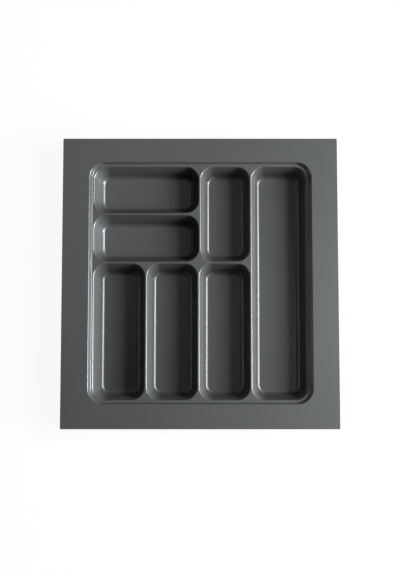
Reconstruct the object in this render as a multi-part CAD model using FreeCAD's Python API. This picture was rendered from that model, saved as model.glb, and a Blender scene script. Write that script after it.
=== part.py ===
"""Cutlery tray for a kitchen drawer, formed from one sheet of plastic.

A flat rim surrounds a shallow recess. The bottom of the recess is a web of narrow dividers, and seven
compartments with sloping walls and round corners hang from it. The sheet is divided into its formed
zones, which meet face to face. Sizes are in millimetres. +X is to the right, +Y to the back of the
drawer and +Z up, and the origin is below the middle of the tray, level with the undersides of the floors.
"""

import FreeCAD
import Part
import math
import os
from collections import namedtuple

# The sheet
sheet = 1.5                 # thickness
draft = 14.0                # slope of the walls, in degrees from upright
bank = 34.0                 # slope of the recess's left and right sides, which lie flatter

# The rim
rim_left = 45.1             # flat width at the left
rim_right = 43.9            # flat width at the right
rim_back = 40.8             # flat width at the back
rim_front = 41.5            # flat width at the front
rim_corner = 2.0            # radius of the cut corners

# The recess, measured to the sharp lines where its faces would meet
recess_depth = 7.0          # from the rim down to the deck
recess_corner = 26.0        # corner radius, level with the rim
recess_foot_corner = 24.0   # corner radius, level with the deck
ledge_side = 2.9            # deck between the foot of the wall and the outermost lips, left and right
ledge_end = 5.0             # the same at the front and at the back
roll_radius = 1.5           # rolled edge where the rim turns down
foot_radius = 1.5           # hollow where the wall meets the deck

# The compartments, measured at their mouths, again to the sharp lines
front_width = 84.8          # each of the three at the front, for knives, forks and spoons
front_length = 229.2
crosswise_length = 79.1     # from front to back, each of the two that lie crosswise
short_width = 82.5          # the one at the back, in the middle
long_width = 92.0           # the one on the right, which runs all the way from front to back
divider = 3.8               # between two mouths
depth = 39.5                # from the deck down to the floors
mouth_corner = 22.0         # corner radius at the mouth
floor_corner = 15.0         # corner radius at the floor
lip_radius = 1.9            # rolled edge where the deck turns down
lip_drop = 5.0              # how far the deck reaches down into the compartments
flare = 1.7                 # how far the outermost lips lean out at the left and right
floor_radius = 7.0          # hollow where the walls meet the floor

# A cut runs past the faces that it opens by this much
overrun = 3.0

# Rows of like compartments, in the order in which they stand along +X and +Y
front_row = ("left", "middle", "right")
crosswise_row = ("front", "back")


def run(drop, angle):
    """How far a wall moves sideways over a drop, at an angle from upright."""
    return drop * math.tan(math.radians(angle))


def skin(angle):
    """The sheet's thickness in a level cut through a wall, at an angle from upright."""
    return sheet / math.cos(math.radians(angle))


def reach(radius, angle):
    """How far a rounding reaches along the level face that meets a wall at an angle from upright."""
    return radius * math.tan(math.radians(90 - angle) / 2)


# What follows from those sizes
recess_side = run(recess_depth, bank)
recess_end = run(recess_depth, draft)

floor_top = sheet
deck_top = floor_top + depth
lip_bottom = deck_top - lip_drop
rim_top = deck_top + recess_depth

mouths_width = len(front_row) * (front_width + divider) + long_width
mouths_length = front_length + len(crosswise_row) * (divider + crosswise_length)
tray_width = rim_left + rim_right + 2 * (recess_side + ledge_side + flare) + mouths_width
tray_length = rim_front + rim_back + 2 * (recess_end + ledge_end) + mouths_length

Rect = namedtuple("Rect", "left right front back")


def grown(rect, side, end):
    """The rectangle with its sides moved outwards, by one amount across and another lengthwise."""
    return Rect(rect.left - side, rect.right + side, rect.front - end, rect.back + end)


def compartment_mouths():
    """The rectangle of each compartment's mouth, by the name of the compartment."""
    left = -tray_width / 2 + rim_left + recess_side + ledge_side + flare
    front = -tray_length / 2 + rim_front + recess_end + ledge_end
    back = front + mouths_length
    mouths = {}

    x = left
    for side in front_row:
        mouths["front_compartment_" + side] = Rect(x, x + front_width, front, front + front_length)
        x += front_width + divider
    mouths["long_compartment"] = Rect(x, x + long_width, front, back)

    short_right = x - divider
    short_left = short_right - short_width
    y = front + front_length + divider
    mouths["short_compartment"] = Rect(short_left, short_right, y, back)

    for row in crosswise_row:
        mouths["crosswise_compartment_" + row] = Rect(left, short_left - divider, y, y + crosswise_length)
        y += crosswise_length + divider
    return mouths


def flared(mouth, mouths):
    """A mouth as its lip opens at the deck, leaned out where it is the outermost one."""
    leftmost = mouth.left == min(other.left for other in mouths)
    rightmost = mouth.right == max(other.right for other in mouths)
    return mouth._replace(left=mouth.left - flare * leftmost, right=mouth.right + flare * rightmost)


def outline(rect, radius, height):
    """A closed wire round the rectangle at a height, with round corners."""
    corners = (
        (rect.right - radius, rect.front + radius, -90),
        (rect.right - radius, rect.back - radius, 0),
        (rect.left + radius, rect.back - radius, 90),
        (rect.left + radius, rect.front + radius, 180),
    )

    def on_corner(corner, turn):
        x, y, start = corner
        angle = math.radians(start + turn)
        return FreeCAD.Vector(x + radius * math.cos(angle), y + radius * math.sin(angle), height)

    edges = []
    for here, following in zip(corners, corners[1:] + corners[:1]):
        bend = Part.Arc(on_corner(here, 0), on_corner(here, 45), on_corner(here, 90))
        straight = Part.LineSegment(on_corner(here, 90), on_corner(following, 0))
        edges += [bend.toShape(), straight.toShape()]
    return Part.Wire(edges)


def plate(rect, radius, low, high):
    """A flat block with round corners between two heights."""
    face = Part.Face(outline(rect, radius, low))
    return face.extrude(FreeCAD.Vector(0, 0, high - low))


def rounded_foot(solid, radius):
    """The solid with the edges of its lowest face rounded."""
    lowest = min(solid.Faces, key=lambda face: face.CenterOfMass.z)
    return solid.makeFillet(radius, lowest.Edges)


def rolled_lips(solid, radius):
    """The solid with the edges of the holes in its highest face rounded."""
    highest = max(solid.Faces, key=lambda face: face.CenterOfMass.z)
    holes = [wire for wire in highest.Wires if not wire.isSame(highest.OuterWire)]
    return solid.makeFillet(radius, [edge for hole in holes for edge in hole.Edges])


class Hollow:
    """A hollow with sloping walls.

    It is set by its mouth and floor levels, the corner radii there, and the slopes of its sides and ends.
    """

    def __init__(self, mouth, mouth_top, floor, top_corner, low_corner, side_slope=draft, end_slope=draft):
        self.mouth = mouth
        self.mouth_top = mouth_top
        self.floor = floor
        self.top_corner = top_corner
        self.low_corner = low_corner
        self.side_slope = side_slope
        self.end_slope = end_slope

    def section(self, height, side=0, end=0):
        """Rectangle and corner radius of a level cut, with its sides and ends moved outwards."""
        drop = self.mouth_top - height
        narrowing = (self.top_corner - self.low_corner) / (self.mouth_top - self.floor)
        rect = grown(self.mouth, side - run(drop, self.side_slope), end - run(drop, self.end_slope))
        return rect, self.top_corner - drop * narrowing + (side + end) / 2

    def block(self, low, high):
        """The solid that the hollow fills between two heights."""
        ends = [outline(*self.section(height), height) for height in (low, high)]
        return Part.makeLoft(ends, True, True)

    def wrapped(self, low, high):
        """The solid between two heights that the hollow and the sheet round it fill."""
        growth = skin(self.side_slope), skin(self.end_slope)
        ends = [outline(*self.section(height, *growth), height) for height in (low, high)]
        return Part.makeLoft(ends, True, True)

    def shell(self, top, foot):
        """The formed wall and floor up to a height, with a rounded foot inside and outside."""
        outside = rounded_foot(self.wrapped(self.floor - sheet, top), foot + sheet)
        inside = rounded_foot(self.block(self.floor, top + overrun), foot)
        return outside.cut(inside)


def recess_hollow(mouths):
    """The recess, which leaves a ledge of deck round all the compartments."""
    around = Rect(
        min(mouth.left for mouth in mouths),
        max(mouth.right for mouth in mouths),
        min(mouth.front for mouth in mouths),
        max(mouth.back for mouth in mouths),
    )
    top = grown(around, flare + ledge_side + recess_side, ledge_end + recess_end)
    return Hollow(top, rim_top, deck_top, recess_corner, recess_foot_corner, side_slope=bank)


def compartment_hollow(mouth):
    """One compartment, from the deck to its floor."""
    return Hollow(mouth, deck_top, floor_top, mouth_corner, floor_corner)


def recess_seam(recess, low, high):
    """The block that separates the recess wall's rolled edge from the flat rim."""
    edge, corner = recess.section(rim_top, roll_radius, roll_radius)
    return plate(edge, corner, low, high)


def deck_seam(recess, low, high):
    """The block that separates the deck from the foot of the recess wall.

    It ends halfway across the flat part of the ledge, between the hollow at the foot and the rolled edges.
    """
    lip = reach(lip_radius, draft)
    side = (reach(foot_radius, bank) + ledge_side - lip) / 2
    end = (reach(foot_radius, draft) + ledge_end - lip) / 2
    edge, corner = recess.section(deck_top, -side, -end)
    return plate(edge, corner, low, high)


def rim_panel(recess):
    """The flat rim, cut square outside and open over the recess."""
    mouth = recess.mouth
    outer = Rect(
        mouth.left - rim_left, mouth.right + rim_right, mouth.front - rim_front, mouth.back + rim_back
    )
    panel = plate(outer, rim_corner, rim_top - sheet, rim_top)
    return panel.cut(recess_seam(recess, rim_top - sheet - overrun, rim_top + overrun))


def recess_wall(recess):
    """The rolled edge, the low wall of the recess and its foot, all inside the seam with the rim."""
    collar = recess_seam(recess, rim_top - sheet, rim_top)
    outside = rounded_foot(recess.wrapped(deck_top - sheet, rim_top), foot_radius + sheet)
    outside = outside.common(recess_seam(recess, deck_top - sheet, rim_top))
    inside = rounded_foot(recess.block(deck_top, rim_top + overrun), foot_radius)
    wall = outside.fuse(collar).removeSplitter().cut(inside)
    wall = rolled_lips(wall, roll_radius)
    return wall.cut(deck_seam(recess, deck_top - sheet - overrun, deck_top + overrun))


def corner_blocks(mouth):
    """Upright blocks round the four corners of a mouth, out to the next mouth or the edge of the deck."""
    out = max(ledge_side, ledge_end, divider)
    across = (mouth.left - out, mouth.right - mouth_corner)
    along = (mouth.front - out, mouth.back - mouth_corner)
    low = lip_bottom - overrun
    corner = FreeCAD.Vector(out + mouth_corner, out + mouth_corner, deck_top + overrun - low)
    return [Part.makeBox(*corner, FreeCAD.Vector(x, y, low)) for x in across for y in along]


def lip_block(hollow, opening, growth, low, high):
    """The solid inside a lip between two heights, widened by a growth, from the wall to its opening."""
    bottom, low_corner = hollow.section(lip_bottom, growth, growth)
    top = grown(opening, growth, growth)
    top_corner = mouth_corner + growth

    def level(height):
        share = (height - lip_bottom) / lip_drop
        rect = Rect(*(below + share * (above - below) for below, above in zip(bottom, top)))
        return outline(rect, low_corner + share * (top_corner - low_corner), height)

    return Part.makeLoft([level(low), level(high)], True, True)


def divider_deck(recess, compartments):
    """The bottom of the recess with the rolled edges of all the compartments.

    It is divided where the corners of the mouths end, into straight bars and the knots that join them.
    """
    deck = deck_seam(recess, deck_top - sheet, deck_top)
    mouths = [hollow.mouth for hollow in compartments]
    openings = [flared(mouth, mouths) for mouth in mouths]
    pairs = list(zip(compartments, openings))
    collars = [lip_block(*pair, skin(draft), lip_bottom, deck_top) for pair in pairs]
    deck = deck.fuse(collars).removeSplitter()
    deck = deck.cut([lip_block(*pair, 0, lip_bottom - overrun, deck_top + overrun) for pair in pairs])
    deck = rolled_lips(deck, lip_radius)
    first, *others = [block for opening in openings for block in corner_blocks(opening)]
    corners = first.fuse(others)
    return Part.makeCompound(deck.cut(corners).Solids + deck.common(corners).Solids)


def build():
    """All the zones of the sheet, by name."""
    mouths = compartment_mouths()
    compartments = {name: compartment_hollow(mouth) for name, mouth in mouths.items()}
    recess = recess_hollow(mouths.values())
    zones = {
        "rim_panel": rim_panel(recess),
        "recess_wall": recess_wall(recess),
        "divider_deck": divider_deck(recess, list(compartments.values())),
    }
    for name, hollow in compartments.items():
        zones[name] = hollow.shell(lip_bottom, floor_radius)
    return zones


os.makedirs("parts", exist_ok=True)
for name, solid in build().items():
    solid.exportStep("parts/" + name + ".step")
    print(name, solid.ShapeType, len(solid.Solids), solid.isValid(), round(solid.Volume))
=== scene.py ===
"""Cutlery tray for a kitchen drawer, dressed for the camera.

The tray is one sheet of plastic that was warmed, drawn by vacuum over a mould and cut square. Each zone of
that sheet is modelled here as its upper surface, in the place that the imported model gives, and is then given
the sheet's thickness. Lengths are in metres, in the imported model's frame: +X is to the right, +Y to the back
of the drawer and +Z up.
"""

import logging
import math
from collections.abc import Callable
from dataclasses import dataclass, replace
from enum import Enum
from typing import Any

import bmesh
import bpy
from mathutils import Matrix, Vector

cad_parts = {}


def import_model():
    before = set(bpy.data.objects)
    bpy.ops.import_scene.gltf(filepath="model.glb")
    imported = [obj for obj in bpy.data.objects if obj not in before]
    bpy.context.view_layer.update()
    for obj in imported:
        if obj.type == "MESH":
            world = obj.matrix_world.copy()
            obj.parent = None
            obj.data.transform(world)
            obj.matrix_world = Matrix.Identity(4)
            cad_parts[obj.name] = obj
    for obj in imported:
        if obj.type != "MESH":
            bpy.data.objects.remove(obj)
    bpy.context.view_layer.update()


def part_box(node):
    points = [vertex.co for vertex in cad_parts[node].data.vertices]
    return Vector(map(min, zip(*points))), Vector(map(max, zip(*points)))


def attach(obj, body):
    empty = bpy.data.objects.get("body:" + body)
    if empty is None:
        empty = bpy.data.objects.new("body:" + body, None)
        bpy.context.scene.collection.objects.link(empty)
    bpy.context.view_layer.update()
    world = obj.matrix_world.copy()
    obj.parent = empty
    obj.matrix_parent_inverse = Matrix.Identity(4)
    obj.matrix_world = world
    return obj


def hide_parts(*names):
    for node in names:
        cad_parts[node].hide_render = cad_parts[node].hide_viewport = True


LOG = logging.getLogger("cutlery_tray")

MM = 0.001
PHOTO_HEIGHT_PX = 570
SENSOR_MM = 36.0
NEAR = 1e-6
SAME_LEVEL = 4 * NEAR
ON_OUTLINE = 50 * NEAR
CORNER_STEPS = 20
SMOOTH_DEG = 40.0

BODY = "root"


class Node(Enum):
    """The zones of the sheet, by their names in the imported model."""

    RIM = "rim_panel"
    RECESS = "recess_wall"
    DECK = "divider_deck"
    FRONT_LEFT = "front_compartment_left"
    FRONT_MIDDLE = "front_compartment_middle"
    FRONT_RIGHT = "front_compartment_right"
    LONG = "long_compartment"
    SHORT = "short_compartment"
    CROSSWISE_FRONT = "crosswise_compartment_front"
    CROSSWISE_BACK = "crosswise_compartment_back"


class Corner(Enum):
    """The corners of an outline, by the sides of its middle on which they lie."""

    FRONT_LEFT = (-1, -1)
    FRONT_RIGHT = (1, -1)
    BACK_RIGHT = (1, 1)
    BACK_LEFT = (-1, 1)


def piece_name(node: Node) -> str:
    """The name of the modelled piece that stands for a zone."""
    return f"{node.value}_sheet"


# Compartments of one size, of which the first is modelled and the others are copies
LIKE_COMPARTMENTS = (
    (Node.FRONT_LEFT, Node.FRONT_MIDDLE, Node.FRONT_RIGHT),
    (Node.CROSSWISE_FRONT, Node.CROSSWISE_BACK),
    (Node.LONG,),
    (Node.SHORT,),
)


@dataclass(frozen=True)
class Forming:
    """How the mould shapes the sheet.

    The corners are the radii of outlines seen from above, and the other radii are those of bends.

    Attributes:
        sheet: The sheet's thickness.
        draft_deg: The slope of the walls, from upright.
        bank_deg: The slope of the recess's left and right sides, which lie flatter.
        flare: How far the outermost lips lean out at the left and right, to meet those sides.
    """

    sheet: float = 1.5 * MM
    draft_deg: float = 14.0
    bank_deg: float = 34.0
    flare: float = 1.7 * MM
    rim_corner: float = 2.0 * MM
    recess_corner: float = 26.0 * MM
    recess_foot_corner: float = 24.0 * MM
    mouth_corner: float = 22.0 * MM
    floor_corner: float = 15.0 * MM
    roll_radius: float = 1.5 * MM
    foot_radius: float = 1.5 * MM
    lip_radius: float = 1.9 * MM
    floor_radius: float = 7.0 * MM

    @property
    def slope(self) -> float:
        """How far a wall moves sideways for each metre that it goes down."""
        return math.tan(math.radians(self.draft_deg))

    @property
    def skin(self) -> float:
        """The sheet's thickness in a level cut through a wall."""
        return self.sheet / math.cos(math.radians(self.draft_deg))

    def reach(self, radius: float, slope_deg: float | None = None) -> float:
        """Works out how far a rounding reaches along a wall and along the level face that it joins.

        Args:
            radius: The radius of the rounding.
            slope_deg: The slope of the wall, from upright, or None for that of most walls.

        Returns:
            The distance from the sharp line.
        """
        slope = self.draft_deg if slope_deg is None else slope_deg
        return radius * math.tan(math.radians(90.0 - slope) / 2)


@dataclass(frozen=True)
class Bank:
    """The cross-section of one side of the recess: a rolled edge, a straight slope and a hollow at the foot.

    Attributes:
        forming: How the mould shapes the sheet.
        depth: From the rim down to the deck.
        slope_deg: The slope, from upright.
    """

    forming: Forming
    depth: float
    slope_deg: float

    @property
    def inset(self) -> float:
        """From the sharp line at the rim to the sharp line at the deck, seen from above."""
        return self.depth * math.tan(math.radians(self.slope_deg))

    def bends(self, steps: int) -> list[float]:
        """Drops below the rim at which the roll and the hollow have turned by even steps."""
        turn = math.radians(90.0 - self.slope_deg)
        shares = [1.0 - math.cos(turn * step / steps) for step in range(steps + 1)]
        roll = [self.forming.roll_radius * share for share in shares]
        hollow = [self.depth - self.forming.foot_radius * share for share in shares]
        return roll + hollow

    def excess(self, drop: float) -> float:
        """How far the surface lies outside the straight slope at a drop below the rim."""
        forming = self.forming
        straight = drop * math.tan(math.radians(self.slope_deg))
        fall = 1.0 - math.cos(math.radians(90.0 - self.slope_deg))
        rise = max(self.depth - drop, 0.0)
        if drop < forming.roll_radius * fall:
            out = forming.reach(forming.roll_radius, self.slope_deg)
            return straight + out - math.sqrt(forming.roll_radius**2 - (forming.roll_radius - drop) ** 2)
        if rise < forming.foot_radius * fall:
            out = forming.reach(forming.foot_radius, self.slope_deg)
            run = math.sqrt(forming.foot_radius**2 - (forming.foot_radius - rise) ** 2)
            return straight - self.inset - out + run
        return 0.0


@dataclass(frozen=True)
class Section:
    """A level outline of the sheet's upper surface, a rectangle with round corners."""

    left: float
    right: float
    front: float
    back: float
    height: float
    corner: float

    @property
    def middle(self) -> Vector:
        """The point in the middle of the outline."""
        return Vector(((self.left + self.right) / 2, (self.front + self.back) / 2, self.height))

    @property
    def size(self) -> tuple[float, float]:
        """Width and length of the outline."""
        return self.right - self.left, self.back - self.front

    def moved(
        self, side: float, end: float | None = None, height: float | None = None, corner: float | None = None
    ) -> "Section":
        """Gives the outline with its sides and ends moved outwards.

        Args:
            side: How far the left and right sides move.
            end: How far the front and back ends move, or None for as far as the sides.
            height: The new height, or None for the same.
            corner: The new corner radius, or None for one that grows by the mean of the two moves.

        Returns:
            The new outline.
        """
        end = side if end is None else end
        return Section(
            left=self.left - side,
            right=self.right + side,
            front=self.front - end,
            back=self.back + end,
            height=self.height if height is None else height,
            corner=self.corner + (side + end) / 2 if corner is None else corner,
        )

    def corner_middle(self, corner: Corner) -> Vector:
        """The point about which a corner is round."""
        across, along = corner.value
        width, length = self.size
        offset = Vector((across * (width / 2 - self.corner), along * (length / 2 - self.corner), 0.0))
        return self.middle + offset

    def passes(self, point: Vector) -> bool:
        """Whether the outline runs through a point."""
        if abs(point.z - self.height) > SAME_LEVEL:
            return False
        width, length = self.size
        across = abs(point.x - self.middle.x) - width / 2 + self.corner
        along = abs(point.y - self.middle.y) - length / 2 + self.corner
        outside = math.hypot(max(across, 0.0), max(along, 0.0))
        distance = outside + min(max(across, along), 0.0) - self.corner
        return abs(distance) < ON_OUTLINE


class Bench:
    """The modelling steps that the zones share, each done with Blender's own operators."""

    @staticmethod
    def clear() -> None:
        """Leaves edit mode and selects nothing."""
        if bpy.context.object is not None and bpy.context.object.mode != "OBJECT":
            bpy.ops.object.mode_set(mode="OBJECT")
        bpy.ops.object.select_all(action="DESELECT")

    @staticmethod
    def only(piece: bpy.types.Object) -> None:
        """Selects one object and makes it the active one."""
        Bench.clear()
        piece.select_set(True)
        bpy.context.view_layer.objects.active = piece

    @staticmethod
    def plate(name: str, section: Section, steps: int = CORNER_STEPS) -> bpy.types.Object:
        """Adds a level face with round corners.

        Args:
            name: The name of the new object.
            section: The outline that the face fills.
            steps: How many edges make up each corner.

        Returns:
            The new object, selected and in object mode.
        """
        Bench.clear()
        bpy.ops.mesh.primitive_plane_add(size=1.0, location=section.middle)
        piece = bpy.context.object
        piece.name = name
        piece.data.name = name
        piece.scale = (*section.size, 1.0)
        bpy.ops.object.transform_apply(location=True, rotation=True, scale=True)
        bpy.ops.object.mode_set(mode="EDIT")
        bpy.ops.mesh.select_all(action="SELECT")
        bpy.ops.mesh.bevel(offset=section.corner, segments=steps, profile=0.5, affect="VERTICES")
        bpy.ops.object.mode_set(mode="OBJECT")
        return piece

    @staticmethod
    def pick_points(piece: bpy.types.Object, test: Callable[[Vector], bool]) -> None:
        """Selects the vertices of the edited mesh that pass a test of their place, and no others."""
        bpy.ops.mesh.select_mode(type="VERT")
        bpy.ops.mesh.select_all(action="DESELECT")
        mesh = bmesh.from_edit_mesh(piece.data)
        for vertex in mesh.verts:
            vertex.select_set(test(vertex.co))
        mesh.select_flush_mode()
        bmesh.update_edit_mesh(piece.data)

    @staticmethod
    def pick_outline(piece: bpy.types.Object, *sections: Section) -> None:
        """Selects the edges of the edited mesh that run along some outlines, and no others."""
        bpy.ops.mesh.select_mode(type="EDGE")
        bpy.ops.mesh.select_all(action="DESELECT")
        mesh = bmesh.from_edit_mesh(piece.data)
        for edge in mesh.edges:
            here, there = (vertex.co for vertex in edge.verts)
            edge.select_set(any(section.passes(here) and section.passes(there) for section in sections))
        mesh.select_flush_mode()
        bmesh.update_edit_mesh(piece.data)

    @staticmethod
    def pick_bottom(piece: bpy.types.Object, section: Section) -> None:
        """Selects the face of the edited mesh that fills an outline, and no others."""
        bpy.ops.mesh.select_mode(type="FACE")
        bpy.ops.mesh.select_all(action="DESELECT")
        mesh = bmesh.from_edit_mesh(piece.data)
        for face in mesh.faces:
            face.select_set(all(section.passes(vertex.co) for vertex in face.verts))
        mesh.select_flush_mode()
        bmesh.update_edit_mesh(piece.data)

    @staticmethod
    def reshape(piece: bpy.types.Object, now: Section, wanted: Section) -> None:
        """Moves the corners of one outline of the edited mesh, so that it becomes another outline.

        Args:
            piece: The object in edit mode.
            now: The outline as it is.
            wanted: The outline that it becomes.
        """
        size = wanted.corner / now.corner
        for corner in Corner:
            across, along = corner.value
            start = now.corner_middle(corner)

            def in_corner(point: Vector) -> bool:
                """Whether a vertex is on this corner of the outline."""
                here = (point.x - now.middle.x) * across > 0 < (point.y - now.middle.y) * along
                return here and now.passes(point)

            Bench.pick_points(piece, in_corner)
            bpy.ops.transform.resize(value=(size, size, 1.0), center_override=start)
            bpy.ops.transform.translate(value=wanted.corner_middle(corner) - start)

    @staticmethod
    def sink(piece: bpy.types.Object, start: Section, *levels: Section) -> None:
        """Extrudes the selected face or edges of the edited mesh down a wall, from outline to outline.

        Args:
            piece: The object in edit mode.
            start: The outline at the top of the wall, which is selected.
            levels: The outlines below it, from the top down.
        """
        for here, below in zip((start, *levels), levels):
            drop = below.height - here.height
            bpy.ops.mesh.extrude_region_move(TRANSFORM_OT_translate={"value": (0.0, 0.0, drop)})
            Bench.reshape(piece, here.moved(0.0, height=below.height), below)
            Bench.pick_outline(piece, below)

    @staticmethod
    def step_in(piece: bpy.types.Object, start: Section, wanted: Section) -> None:
        """Insets the selected face of the edited mesh, so that a level strip leads to a smaller outline.

        Args:
            piece: The object in edit mode.
            start: The outline of the selected face.
            wanted: The outline inside the strip.
        """
        inset = 0.3 * MM
        bpy.ops.mesh.inset(thickness=inset, use_even_offset=True)
        Bench.reshape(piece, start.moved(-inset), wanted)

    @staticmethod
    def round_off(piece: bpy.types.Object, reach: float, steps: int, *sections: Section) -> None:
        """Rounds the edges of the edited mesh that run along some outlines.

        Args:
            piece: The object in edit mode.
            reach: How far the rounding reaches along the faces on both sides.
            steps: How many faces make up the rounding.
            sections: The outlines.
        """
        Bench.pick_outline(piece, *sections)
        bpy.ops.mesh.bevel(
            offset_type="OFFSET",
            offset=reach,
            segments=steps,
            profile=0.5,
            affect="EDGES",
            clamp_overlap=False,
        )

    @staticmethod
    def thicken(piece: bpy.types.Object, sheet: float) -> None:
        """Gives a surface the sheet's thickness on its under side.

        Args:
            piece: The surface, with its faces pointing up.
            sheet: The thickness.
        """
        Bench.only(piece)
        shell = piece.modifiers.new("sheet", "SOLIDIFY")
        shell.thickness = sheet
        shell.offset = -1.0
        shell.use_even_offset = True
        shell.use_rim = True
        bpy.ops.object.modifier_apply(modifier=shell.name)

    @staticmethod
    def smooth(piece: bpy.types.Object) -> None:
        """Shades the bends round and keeps the flats flat."""
        Bench.only(piece)
        bpy.ops.object.shade_smooth_by_angle(angle=math.radians(SMOOTH_DEG), keep_sharp_edges=False)
        evened = piece.modifiers.new("evened", "WEIGHTED_NORMAL")
        evened.keep_sharp = True
        bpy.ops.object.modifier_apply(modifier=evened.name)


@dataclass
class RimPanel:
    """The flat rim, cut square outside and open over the recess.

    Attributes:
        forming: How the mould shapes the sheet.
        outer: The cut edge.
        seam: The line where the sheet starts to turn down.
    """

    forming: Forming
    outer: Section
    seam: Section
    border: float = 1.0 * MM
    corner_steps: int = 6
    edge_break: float = 0.25 * MM
    edge_steps: int = 2

    def build(self) -> bpy.types.Object:
        """Models the panel and returns it."""
        hole = Bench.plate("seam", self.seam)
        bpy.ops.object.mode_set(mode="EDIT")
        bpy.ops.mesh.delete(type="ONLY_FACE")
        bpy.ops.object.mode_set(mode="OBJECT")
        piece = Bench.plate(piece_name(Node.RIM), self.outer, self.corner_steps)
        bpy.ops.object.mode_set(mode="EDIT")
        bpy.ops.mesh.select_all(action="SELECT")
        bpy.ops.mesh.inset(thickness=self.border, use_even_offset=True)
        bpy.ops.mesh.delete(type="ONLY_FACE")
        bpy.ops.object.mode_set(mode="OBJECT")
        hole.select_set(True)
        bpy.ops.object.join()
        bpy.ops.object.mode_set(mode="EDIT")
        Bench.pick_outline(piece, self.outer.moved(-self.border), self.seam)
        bpy.ops.mesh.fill(use_beauty=True)
        bpy.ops.mesh.select_all(action="SELECT")
        bpy.ops.mesh.normals_make_consistent(inside=False)
        bpy.ops.object.mode_set(mode="OBJECT")
        Bench.thicken(piece, self.forming.sheet)
        bpy.ops.object.mode_set(mode="EDIT")
        Bench.round_off(piece, self.edge_break, self.edge_steps, self.outer)
        under = self.outer.moved(0.0, height=self.outer.height - self.forming.sheet)
        Bench.round_off(piece, self.edge_break, self.edge_steps, under)
        bpy.ops.object.mode_set(mode="OBJECT")
        Bench.smooth(piece)
        return piece


@dataclass
class RecessWall:
    """The rolled edge inside the rim, the sides and ends of the recess below it and their foot.

    Attributes:
        forming: How the mould shapes the sheet.
        mouth: The outline of the recess at the rim, to the sharp line.
        seam: The outline of the deck, where the wall's foot ends.
        bend_steps: How many steps make up each rounding.
        least_drop: The least height between two outlines down the wall.
    """

    forming: Forming
    mouth: Section
    seam: Section
    bend_steps: int = 6
    least_drop: float = 0.02 * MM

    def levels(self) -> list[Section]:
        """Gives the outlines down the wall, from the start of the roll to the end of the hollow."""
        forming = self.forming
        depth = self.mouth.height - self.seam.height
        side = Bank(forming, depth, forming.bank_deg)
        end = Bank(forming, depth, forming.draft_deg)
        narrowing = (forming.recess_corner - forming.recess_foot_corner) / depth
        drops = [0.0]
        for drop in sorted(side.bends(self.bend_steps) + end.bends(self.bend_steps)):
            if drop - drops[-1] > self.least_drop:
                drops.append(drop)
        outlines = []
        for drop in drops:
            across, along = side.excess(drop), end.excess(drop)
            outlines.append(
                self.mouth.moved(
                    across - drop / depth * side.inset,
                    along - drop / depth * end.inset,
                    height=self.mouth.height - drop,
                    corner=self.mouth.corner - drop * narrowing + (across + along) / 2,
                )
            )
        return outlines

    def build(self) -> bpy.types.Object:
        """Models the wall and returns it."""
        first, *others = self.levels()
        edge = self.mouth.moved(self.forming.roll_radius)
        piece = Bench.plate(piece_name(Node.RECESS), edge)
        bpy.ops.object.mode_set(mode="EDIT")
        bpy.ops.mesh.select_all(action="SELECT")
        Bench.step_in(piece, edge, first)
        Bench.pick_bottom(piece, first)
        Bench.sink(piece, first, *others)
        Bench.pick_bottom(piece, others[-1])
        Bench.step_in(piece, others[-1], self.seam)
        Bench.pick_bottom(piece, self.seam)
        bpy.ops.mesh.delete(type="FACE")
        bpy.ops.object.mode_set(mode="OBJECT")
        Bench.thicken(piece, self.forming.sheet)
        Bench.smooth(piece)
        return piece


@dataclass
class DividerDeck:
    """The bottom of the recess, with the rolled lips of all the compartments.

    Attributes:
        forming: How the mould shapes the sheet.
        outer: The outline of the deck.
        lips: For each compartment, its outlines at the deck and where its lip ends.
    """

    forming: Forming
    outer: Section
    lips: list[tuple[Section, Section]]
    collar: float = 1.6 * MM
    lip_steps: int = 8

    def lip(self, mouth: Section, end: Section) -> bpy.types.Object:
        """Models one lip with a narrow collar of deck round it.

        Args:
            mouth: The outline at the deck.
            end: The outline where the lip ends.

        Returns:
            The lip, open below.
        """
        piece = Bench.plate("lip", mouth.moved(self.collar))
        bpy.ops.object.mode_set(mode="EDIT")
        bpy.ops.mesh.select_all(action="SELECT")
        bpy.ops.mesh.inset(thickness=self.collar, use_even_offset=True)
        Bench.sink(piece, mouth, end)
        Bench.pick_bottom(piece, end)
        bpy.ops.mesh.delete(type="FACE")
        reach = self.forming.reach(self.forming.lip_radius)
        Bench.round_off(piece, reach, self.lip_steps, mouth)
        bpy.ops.object.mode_set(mode="OBJECT")
        return piece

    def build(self) -> bpy.types.Object:
        """Models the deck and returns it."""
        lips = [self.lip(mouth, end) for mouth, end in self.lips]
        piece = Bench.plate(piece_name(Node.DECK), self.outer)
        bpy.ops.object.mode_set(mode="EDIT")
        bpy.ops.mesh.select_all(action="SELECT")
        bpy.ops.mesh.delete(type="ONLY_FACE")
        bpy.ops.object.mode_set(mode="OBJECT")
        for lip in lips:
            lip.select_set(True)
        bpy.ops.object.join()
        bpy.ops.object.mode_set(mode="EDIT")
        collars = [mouth.moved(self.collar) for mouth, _ in self.lips]
        Bench.pick_outline(piece, self.outer, *collars)
        bpy.ops.mesh.fill(use_beauty=True)
        bpy.ops.object.mode_set(mode="OBJECT")
        Bench.thicken(piece, self.forming.sheet)
        Bench.smooth(piece)
        return piece


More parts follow.
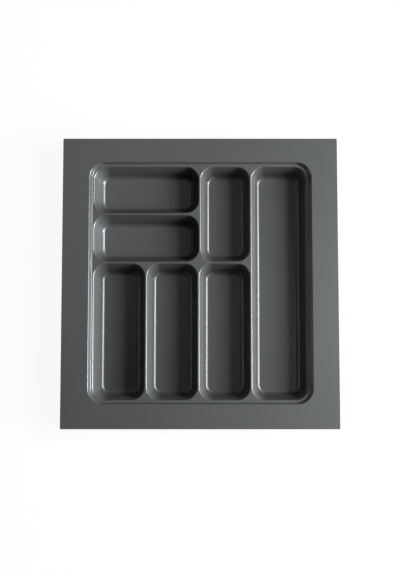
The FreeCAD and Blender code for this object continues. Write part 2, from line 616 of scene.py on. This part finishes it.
@dataclass
class Compartment:
    """The sloping walls and the floor of one compartment, below its lip.

    Attributes:
        forming: How the mould shapes the sheet.
        node: The zone that it is.
        top: The outline where the lip ends.
        floor: The outline at the floor, to the sharp line.
    """

    forming: Forming
    node: Node
    top: Section
    floor: Section
    bend_steps: int = 10

    def build(self) -> bpy.types.Object:
        """Models the compartment and returns it."""
        forming = self.forming
        piece = Bench.plate(piece_name(self.node), self.top)
        bpy.ops.object.mode_set(mode="EDIT")
        bpy.ops.mesh.select_all(action="SELECT")
        bpy.ops.mesh.delete(type="ONLY_FACE")
        Bench.pick_outline(piece, self.top)
        Bench.sink(piece, self.top, self.floor)
        Bench.pick_outline(piece, self.floor)
        bpy.ops.mesh.edge_face_add()
        bpy.ops.mesh.select_all(action="SELECT")
        bpy.ops.mesh.normals_make_consistent(inside=True)
        Bench.round_off(piece, forming.reach(forming.floor_radius), self.bend_steps, self.floor)
        bpy.ops.object.mode_set(mode="OBJECT")
        Bench.thicken(piece, forming.sheet)
        Bench.smooth(piece)
        return piece

    def copy(self, piece: bpy.types.Object, node: Node, place: Vector) -> bpy.types.Object:
        """Copies the finished compartment to the place of another of its size.

        Args:
            piece: The finished compartment.
            node: The zone that the copy is.
            place: The middle of the copy's top outline.

        Returns:
            The copy, with its own mesh.
        """
        Bench.only(piece)
        bpy.ops.object.duplicate(linked=False)
        made = bpy.context.object
        made.name = piece_name(node)
        made.data.name = piece_name(node)
        bpy.ops.transform.translate(value=place - self.top.middle)
        bpy.ops.object.transform_apply(location=True, rotation=True, scale=True)
        return made


def linear(hex_colour: str) -> tuple[float, float, float, float]:
    """Turns an sRGB colour into the linear one that the shaders take.

    Args:
        hex_colour: Six hexadecimal digits after a hash sign.

    Returns:
        Red, green, blue and an opacity of one.
    """
    shares = [int(hex_colour[place : place + 2], 16) / 255 for place in (1, 3, 5)]
    red, green, blue = (s / 12.92 if s <= 0.04045 else ((s + 0.055) / 1.055) ** 2.4 for s in shares)
    return red, green, blue, 1.0


def add_node(
    tree: bpy.types.NodeTree,
    kind: str,
    settings: dict[str, Any] | None = None,
    values: dict[str | int, Any] | None = None,
    links: dict[str | int, bpy.types.NodeSocket] | None = None,
) -> bpy.types.Node:
    """Adds a node to a tree.

    Args:
        tree: The tree.
        kind: The node's type name.
        settings: Properties of the node.
        values: Values of its inputs that nothing is linked to.
        links: The sockets that feed its other inputs.

    Returns:
        The new node.
    """
    node = tree.nodes.new(kind)
    for name, value in (settings or {}).items():
        setattr(node, name, value)
    for name, value in (values or {}).items():
        node.inputs[name].default_value = value
    for name, socket in (links or {}).items():
        tree.links.new(socket, node.inputs[name])
    return node


@dataclass(frozen=True)
class FormedPolystyrene:
    """High-impact polystyrene sheet, dyed anthracite and vacuum formed.

    The sheet leaves its rollers with a fine grain, which gives a satin sheen with soft highlights. The sheen
    is dullest on the steep walls and sharpest at the bends, which the mould presses smoother.

    Attributes:
        wall_end: The upward share of the normal at which the steep walls end.
        bend_start: The share from which a face counts as a bend.
        bend_end: The share at which the bends turn into the flats.
    """

    dark: str = "#434444"
    pale: str = "#474848"
    ior: float = 1.59
    gloss_level: float = 0.75
    roughness_wall: float = 0.44
    roughness_bend: float = 0.35
    roughness_flat: float = 0.38
    wall_end: float = 0.26
    bend_start: float = 0.40
    bend_end: float = 0.92
    # The real grain of about 0.3 mm is far below a pixel, so it is drawn eight times as coarse
    grain: float = 2.4 * MM
    grain_depth: float = 0.002 * MM
    cloud: float = 70.0 * MM

    def build(self) -> bpy.types.Material:
        """Makes the material and returns it."""
        material = bpy.data.materials.new("formed_polystyrene")
        material.use_nodes = True
        tree = material.node_tree
        tree.nodes.clear()
        place = add_node(tree, "ShaderNodeTexCoord")
        cloud = add_node(
            tree,
            "ShaderNodeTexNoise",
            values={"Scale": 1 / self.cloud, "Detail": 3.0, "Roughness": 0.5},
            links={"Vector": place.outputs["Object"]},
        )
        grain = add_node(
            tree,
            "ShaderNodeTexNoise",
            values={"Scale": 1 / self.grain, "Detail": 2.0, "Roughness": 0.6},
            links={"Vector": place.outputs["Object"]},
        )
        colour = add_node(
            tree,
            "ShaderNodeMix",
            settings={"data_type": "RGBA"},
            values={6: linear(self.dark), 7: linear(self.pale)},
            links={0: cloud.outputs["Fac"]},
        )
        level = add_node(tree, "ShaderNodeSeparateXYZ", links={0: place.outputs["Normal"]})
        roughness = add_node(tree, "ShaderNodeFloatCurve", links={"Value": level.outputs["Z"]})
        curve = roughness.mapping.curves[0]
        curve.points[0].location = (0.0, self.roughness_wall)
        curve.points[1].location = (1.0, self.roughness_flat)
        curve.points.new(self.wall_end, self.roughness_wall)
        curve.points.new(self.bend_start, self.roughness_bend)
        curve.points.new(self.bend_end, self.roughness_bend)
        for point in curve.points:
            point.handle_type = "VECTOR"
        roughness.mapping.update()
        bump = add_node(
            tree,
            "ShaderNodeBump",
            values={"Strength": 1.0, "Distance": self.grain_depth},
            links={"Height": grain.outputs["Fac"]},
        )
        shader = add_node(
            tree,
            "ShaderNodeBsdfPrincipled",
            values={"IOR": self.ior, "Specular IOR Level": self.gloss_level},
            links={
                "Base Color": colour.outputs[2],
                "Roughness": roughness.outputs["Value"],
                "Normal": bump.outputs["Normal"],
            },
        )
        add_node(tree, "ShaderNodeOutputMaterial", links={"Surface": shader.outputs["BSDF"]})
        return material


@dataclass(frozen=True)
class WhiteTable:
    """A white table top, which the camera sees as the white behind the tray, with a faint shadow on it."""

    colour: str = "#f4f4f3"
    size: float = 6.0
    glow_share: float = 0.93

    def build(self) -> bpy.types.Object:
        """Makes the table top below the tray and returns it."""
        Bench.clear()
        bpy.ops.mesh.primitive_plane_add(size=self.size, location=(0.0, 0.0, 0.0))
        top = bpy.context.object
        top.name = "white_table"
        material = bpy.data.materials.new("white_table_top")
        material.use_nodes = True
        tree = material.node_tree
        tree.nodes.clear()
        rays = add_node(tree, "ShaderNodeLightPath")
        seen = add_node(
            tree,
            "ShaderNodeMath",
            settings={"operation": "MAXIMUM"},
            links={0: rays.outputs["Is Camera Ray"], 1: rays.outputs["Is Glossy Ray"]},
        )
        seen = add_node(
            tree,
            "ShaderNodeMath",
            settings={"operation": "MAXIMUM"},
            links={0: seen.outputs[0], 1: rays.outputs["Is Transmission Ray"]},
        )
        share = add_node(
            tree,
            "ShaderNodeMath",
            settings={"operation": "MULTIPLY"},
            values={1: self.glow_share},
            links={0: seen.outputs[0]},
        )
        matt = add_node(tree, "ShaderNodeBsdfDiffuse", values={"Color": linear(self.colour)})
        glow = add_node(tree, "ShaderNodeEmission", values={"Color": (1.0, 1.0, 1.0, 1.0), "Strength": 1.0})
        mixed = add_node(
            tree,
            "ShaderNodeMixShader",
            links={0: share.outputs[0], 1: matt.outputs[0], 2: glow.outputs[0]},
        )
        add_node(tree, "ShaderNodeOutputMaterial", links={"Surface": mixed.outputs[0]})
        top.data.materials.append(material)
        return top


@dataclass(frozen=True)
class SoftLamp:
    """A large soft lamp.

    Attributes:
        name: Its name.
        place: Where it hangs.
        size: Its width and height.
        power: Its power in watts.
        colour: Its colour.
        aim: The point that it faces, which is above the middle of the tray.
    """

    name: str
    place: tuple[float, float, float]
    size: tuple[float, float]
    power: float
    colour: str = "#ffffff"
    aim: tuple[float, float, float] = (0.0, 0.0, 45.0 * MM)

    def build(self) -> bpy.types.Object:
        """Hangs the lamp and returns it."""
        Bench.clear()
        bpy.ops.object.light_add(type="AREA", location=self.place)
        lamp = bpy.context.object
        lamp.name = self.name
        lamp.data.shape = "RECTANGLE"
        lamp.data.size, lamp.data.size_y = self.size
        lamp.data.energy = self.power
        lamp.data.color = linear(self.colour)[:3]
        facing = Vector(self.aim) - Vector(self.place)
        lamp.rotation_euler = facing.to_track_quat("-Z", "Y").to_euler()
        return lamp


# A window on the right in three bands, and what the walls and the ceiling of the room give back
DAYLIGHT = "#f8fcff"
LAMPS = (
    SoftLamp("window", (2.17, -0.31, 1.02), (0.6, 1.05), 92.0, DAYLIGHT),
    SoftLamp("upper_window", (1.72, 0.36, 1.68), (0.6, 0.7), 49.0, DAYLIGHT),
    SoftLamp("low_window", (1.28, -0.13, 0.25), (0.4, 0.2), 9.5, DAYLIGHT),
    SoftLamp("front_room", (1.13, -1.81, 1.13), (1.2, 0.6), 5.0),
    SoftLamp("back_room", (1.13, 1.81, 1.13), (1.2, 0.6), 3.0),
    SoftLamp("ceiling", (0.69, 0.0, 2.45), (0.4, 0.4), 2.0),
    SoftLamp("back_wall", (-0.68, 0.81, 2.31), (1.0, 1.0), 2.3),
)


@dataclass(frozen=True)
class Room:
    """The white room beyond the table, which the camera sees and which gives no light of its own."""

    colour: str = "#ffffff"

    def build(self) -> None:
        """Sets up the world."""
        world = bpy.data.worlds.new("room")
        world.use_nodes = True
        tree = world.node_tree
        tree.nodes.clear()
        rays = add_node(tree, "ShaderNodeLightPath")
        wall = add_node(
            tree,
            "ShaderNodeBackground",
            values={"Color": linear(self.colour)},
            links={"Strength": rays.outputs["Is Camera Ray"]},
        )
        add_node(tree, "ShaderNodeOutputWorld", links={"Surface": wall.outputs[0]})
        bpy.context.scene.world = world


@dataclass(frozen=True)
class OverheadCamera:
    """A camera above the tray, a little to its front.

    Attributes:
        aim: The point at the middle of the picture, level with the rim.
        distance: How far the camera is from that point.
        tilt_deg: How far it leans from straight down.
        focal_px: Its focal length, in pixels of the photograph's frame.
    """

    aim: tuple[float, float, float] = (-0.22 * MM, -4.96 * MM, 48.0 * MM)
    distance: float = 1814.3 * MM
    tilt_deg: float = 5.584
    focal_px: float = 1080.0

    def build(self) -> bpy.types.Object:
        """Sets up the camera and returns it."""
        tilt = math.radians(self.tilt_deg)
        back = Vector((0.0, -math.sin(tilt), math.cos(tilt)))
        Bench.clear()
        place = Vector(self.aim) + back * self.distance
        bpy.ops.object.camera_add(location=place, rotation=(tilt, 0.0, 0.0))
        camera = bpy.context.object
        camera.name = "overhead_camera"
        camera.data.sensor_width = SENSOR_MM
        camera.data.lens = self.focal_px * SENSOR_MM / PHOTO_HEIGHT_PX
        bpy.context.scene.camera = camera
        return camera


@dataclass
class CutleryTray:
    """The whole tray, zone by zone.

    Attributes:
        forming: How the mould shapes the sheet.
        finish: What the sheet is made of.
    """

    forming: Forming
    finish: FormedPolystyrene

    def level_box(self, node: Node, height: float, corner: float) -> Section:
        """The outline of a zone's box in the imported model, at a height and with a corner radius."""
        low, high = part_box(node.value)
        return Section(low.x, high.x, low.y, high.y, height, corner)

    def compartment_sections(self, node: Node) -> tuple[Section, Section, Section]:
        """Works out a compartment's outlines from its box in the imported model.

        Args:
            node: The compartment.

        Returns:
            Its outlines at the deck, where its lip ends, and at its floor.
        """
        forming = self.forming
        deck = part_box(Node.DECK.value)[1].z
        lip_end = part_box(node.value)[1].z
        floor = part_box(node.value)[0].z + forming.sheet
        narrowing = (forming.mouth_corner - forming.floor_corner) / (deck - floor)
        outside = self.level_box(node, lip_end, forming.mouth_corner)
        top = outside.moved(-forming.skin, corner=forming.mouth_corner - (deck - lip_end) * narrowing)
        mouth = top.moved((deck - lip_end) * forming.slope, height=deck, corner=forming.mouth_corner)
        foot = top.moved((floor - lip_end) * forming.slope, height=floor, corner=forming.floor_corner)
        return mouth, top, foot

    def lips(self) -> list[tuple[Section, Section]]:
        """Gives each compartment's outlines at the deck and where its lip ends, the outermost leaned out."""
        pairs = [self.compartment_sections(node)[:2] for alike in LIKE_COMPARTMENTS for node in alike]
        left = min(mouth.left for mouth, _ in pairs) + NEAR
        right = max(mouth.right for mouth, _ in pairs) - NEAR
        flare = self.forming.flare
        flared = []
        for mouth, end in pairs:
            if mouth.left < left:
                mouth = replace(mouth, left=mouth.left - flare)
            if mouth.right > right:
                mouth = replace(mouth, right=mouth.right + flare)
            flared.append((mouth, end))
        return flared

    def build(self) -> dict[Node, bpy.types.Object]:
        """Models all the zones.

        Returns:
            The finished objects, by zone.
        """
        forming = self.forming
        rim_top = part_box(Node.RIM.value)[1].z
        deck_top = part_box(Node.DECK.value)[1].z
        depth = rim_top - deck_top
        outer = self.level_box(Node.RIM, rim_top, forming.rim_corner)
        rolled = self.level_box(Node.RECESS, rim_top, forming.recess_corner + forming.roll_radius)
        mouth = rolled.moved(-forming.roll_radius)
        foot = mouth.moved(
            -Bank(forming, depth, forming.bank_deg).inset,
            -Bank(forming, depth, forming.draft_deg).inset,
            height=deck_top,
            corner=forming.recess_foot_corner,
        )

        # The deck ends halfway across the flat of the ledge, between the foot's hollow and the lips' roll
        lips = self.lips()
        roll = forming.reach(forming.lip_radius)
        side = min(lip.left for lip, _ in lips) - roll - foot.left
        end = min(lip.front for lip, _ in lips) - roll - foot.front
        side += forming.reach(forming.foot_radius, forming.bank_deg)
        end += forming.reach(forming.foot_radius)
        deck = foot.moved(-side / 2, -end / 2)

        made = {
            Node.RIM: RimPanel(forming, outer, mouth.moved(forming.roll_radius)).build(),
            Node.RECESS: RecessWall(forming, mouth, deck).build(),
            Node.DECK: DividerDeck(forming, deck, lips).build(),
        }
        for first, *others in LIKE_COMPARTMENTS:
            _, top, floor = self.compartment_sections(first)
            compartment = Compartment(forming, first, top, floor)
            made[first] = compartment.build()
            for other in others:
                place = self.compartment_sections(other)[1].middle
                made[other] = compartment.copy(made[first], other, place)
        return made

    def dress(self, made: dict[Node, bpy.types.Object]) -> None:
        """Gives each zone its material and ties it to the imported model.

        Args:
            made: The finished objects, by zone.
        """
        material = self.finish.build()
        for node, piece in made.items():
            piece.data.materials.clear()
            piece.data.materials.append(material)
            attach(piece, BODY)
            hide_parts(node.value)
            LOG.info("%s: %d faces", piece.name, len(piece.data.polygons))


def main() -> None:
    """Builds the tray, the table, the light and the camera."""
    logging.basicConfig(level=logging.INFO, format="%(name)s %(message)s")
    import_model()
    tray = CutleryTray(Forming(), FormedPolystyrene())
    tray.dress(tray.build())
    WhiteTable().build()
    for lamp in LAMPS:
        lamp.build()
    Room().build()
    OverheadCamera().build()
    bpy.context.scene.view_settings.view_transform = "Standard"


if __name__ == "__main__":
    main()
